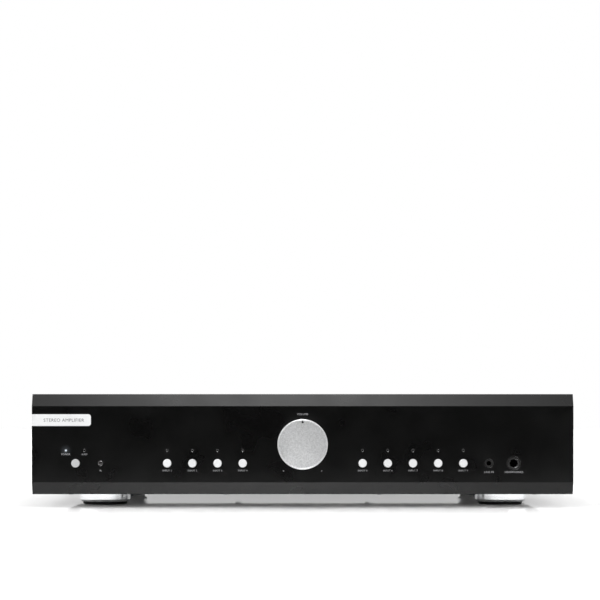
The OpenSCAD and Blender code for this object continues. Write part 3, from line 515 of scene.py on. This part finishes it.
rear_labels = [(str(number), x, ROW_Z[1] + PHONO_CLEAR, REAR_CAP) for number, x in enumerate(PHONO_X, 1)]
rear_labels += [
    ("INPUTS", (PHONO_X[0] + PHONO_X[-1]) / 2, (ROW_Z[0] + ROW_Z[1]) / 2, REAR_CAP),
    ("OPTICAL", COAXIAL[0], ROW_Z[1] + PHONO_CLEAR, SMALL_CAP),
    ("COAXIAL", COAXIAL[0], ROW_Z[0] - PHONO_CLEAR, SMALL_CAP),
    ("SPEAKERS", between(POSTS[1], POSTS[2]), POST_Z + SPEAKERS_UP, REAR_CAP),
    ("L", between(POSTS[2], POSTS[3]), POST_Z + POST_CLEAR, SIGN_CAP),
    ("R", between(POSTS[0], POSTS[1]), POST_Z + POST_CLEAR, SIGN_CAP),
    ("MAINS", inlet.x, inlet.z - MAINS_DOWN, REAR_CAP),
]
rear_labels += [("+", middle(post).x, POST_Z - POST_CLEAR, SIGN_CAP) for post in RED_POSTS]
rear_labels += [("-", middle(post).x, POST_Z - POST_CLEAR, SIGN_CAP) for post in BLACK_POSTS]
rear = bmesh.new()
for words, x, z, cap in rear_labels:
    lettering(rear, words, x, REAR_Y + INK_GAP, z, cap, back=True)
piece("rear_lettering", rear, MAT["ink"], "cabinet", smooth=60)


# ---------------------------------------------------------------- floor, light and world
FLOOR_SIZE = 12.0
FLOOR_WHITE = 0.96
MILK_DEPTH = 0.17  # how far light spreads inside the floor
SHINE = 0.44
GLOSS_ROUGH = 0.004
SHINE_NEAR, SHINE_FAR = 0.02, 0.22  # how far outside the object the shine starts and ends its fade

floor_mesh = bmesh.new()
bmesh.ops.create_grid(floor_mesh, x_segments=2, y_segments=2, size=FLOOR_SIZE / 2)
floor_data = bpy.data.meshes.new("floor")
floor_mesh.to_mesh(floor_data)
floor_mesh.free()
floor = bpy.data.objects.new("floor", floor_data)
floor.location = (0, 0, CAD_BOX[0][2])
scene.collection.objects.link(floor)
floor_material = bpy.data.materials.new("floor")
floor_material.use_nodes = True
f = Nodes(floor_material.node_tree)
milk_inputs = {"Color": rgba(FLOOR_WHITE), "Scale": MILK_DEPTH, "Radius": (1.0, 1.0, 1.0)}
milky = f.add("ShaderNodeSubsurfaceScattering", milk_inputs, falloff="BURLEY").outputs["BSSRDF"]
gloss = f.add("ShaderNodeBsdfGlossy", {"Color": rgba(1.0), "Roughness": GLOSS_ROUGH}).outputs["BSDF"]

# The floor shines under and round the object, and turns matt away from it
here = f.add("ShaderNodeTexCoord").outputs["Object"]
flat_distance = f.add("ShaderNodeVectorMath", {0: here}, operation="ABSOLUTE").outputs["Vector"]
half_size = (CAD_BOX[1][0], CAD_BOX[1][1], 0)
outside = f.add("ShaderNodeVectorMath", {0: flat_distance, 1: half_size}, operation="SUBTRACT")
clear = f.add("ShaderNodeVectorMath", {0: outside.outputs["Vector"], 1: (0, 0, 0)}, operation="MAXIMUM")
reach = f.add("ShaderNodeVectorMath", {0: clear.outputs["Vector"]}, operation="LENGTH").outputs["Value"]
fade = {"Value": reach, "From Min": SHINE_NEAR, "From Max": SHINE_FAR, "To Min": SHINE, "To Max": 0.0}
shine = f.add("ShaderNodeMapRange", fade, interpolation_type="SMOOTHSTEP").outputs["Result"]
polish = f.add("ShaderNodeMixShader", {0: shine, 1: milky, 2: gloss}).outputs["Shader"]
f.add("ShaderNodeOutputMaterial", {"Surface": polish})
floor_data.materials.append(floor_material)

world = bpy.data.worlds.new("studio")
scene.world = world
world.use_nodes = True
w = Nodes(world.node_tree)
backdrop = w.add("ShaderNodeBackground", {"Color": rgba(1.0), "Strength": 1.0}).outputs["Background"]
w.add("ShaderNodeOutputWorld", {"Surface": backdrop})


def softbox(name, place, target, width, height, power):
    """A rectangular area light that faces a point."""
    light = bpy.data.lights.new(name, "AREA")
    light.shape = "RECTANGLE"
    light.size, light.size_y = width, height
    light.energy = power
    lamp = bpy.data.objects.new(name, light)
    lamp.location = place
    lamp.rotation_euler = (Vector(target) - Vector(place)).to_track_quat("-Z", "Y").to_euler()
    scene.collection.objects.link(lamp)


def dark_card(name, low, high, y):
    """An upright black card at y. It shows only in reflections, and keeps the flat panel black."""
    card = bmesh.new()
    corners = [(low[0], y, low[1]), (high[0], y, low[1]), (high[0], y, high[1]), (low[0], y, high[1])]
    card.faces.new([card.verts.new(c) for c in corners])
    data = bpy.data.meshes.new(name)
    card.to_mesh(data)
    card.free()
    cloth = bpy.data.materials.new(name)
    cloth.use_nodes = True
    c = Nodes(cloth.node_tree)
    black = c.add("ShaderNodeBsdfDiffuse", {"Color": rgba(0.01)}).outputs["BSDF"]
    c.add("ShaderNodeOutputMaterial", {"Surface": black})
    data.materials.append(cloth)
    thing = bpy.data.objects.new(name, data)
    thing.visible_camera = False
    thing.visible_shadow = False
    thing.visible_diffuse = False
    scene.collection.objects.link(thing)


def ceiling_light(power, spread, tilt):
    """A wide soft light from above, which gives shade but no highlights."""
    sun = bpy.data.lights.new("ceiling", "SUN")
    sun.energy = power
    sun.angle = math.radians(spread)
    lamp = bpy.data.objects.new("ceiling", sun)
    lamp.rotation_euler = (math.radians(tilt), 0, 0)
    lamp.visible_glossy = False
    scene.collection.objects.link(lamp)


dark_card("front_card", low=(-0.30, 0.005), high=(0.30, 0.13), y=FACE_Y - 0.13)
ceiling_light(power=1.2, spread=70, tilt=12)
softbox("front_light", place=(-0.035, FACE_Y - 0.6, 1.01), target=(-0.035, FACE_Y, 0.09),
        width=0.44, height=0.40, power=2.7)
softbox("edge_light", place=(-0.03, FACE_Y - 0.08, 0.46), target=(-0.03, FACE_Y, 0.05),
        width=0.16, height=0.10, power=0.85)

scene.view_settings.view_transform = "Standard"
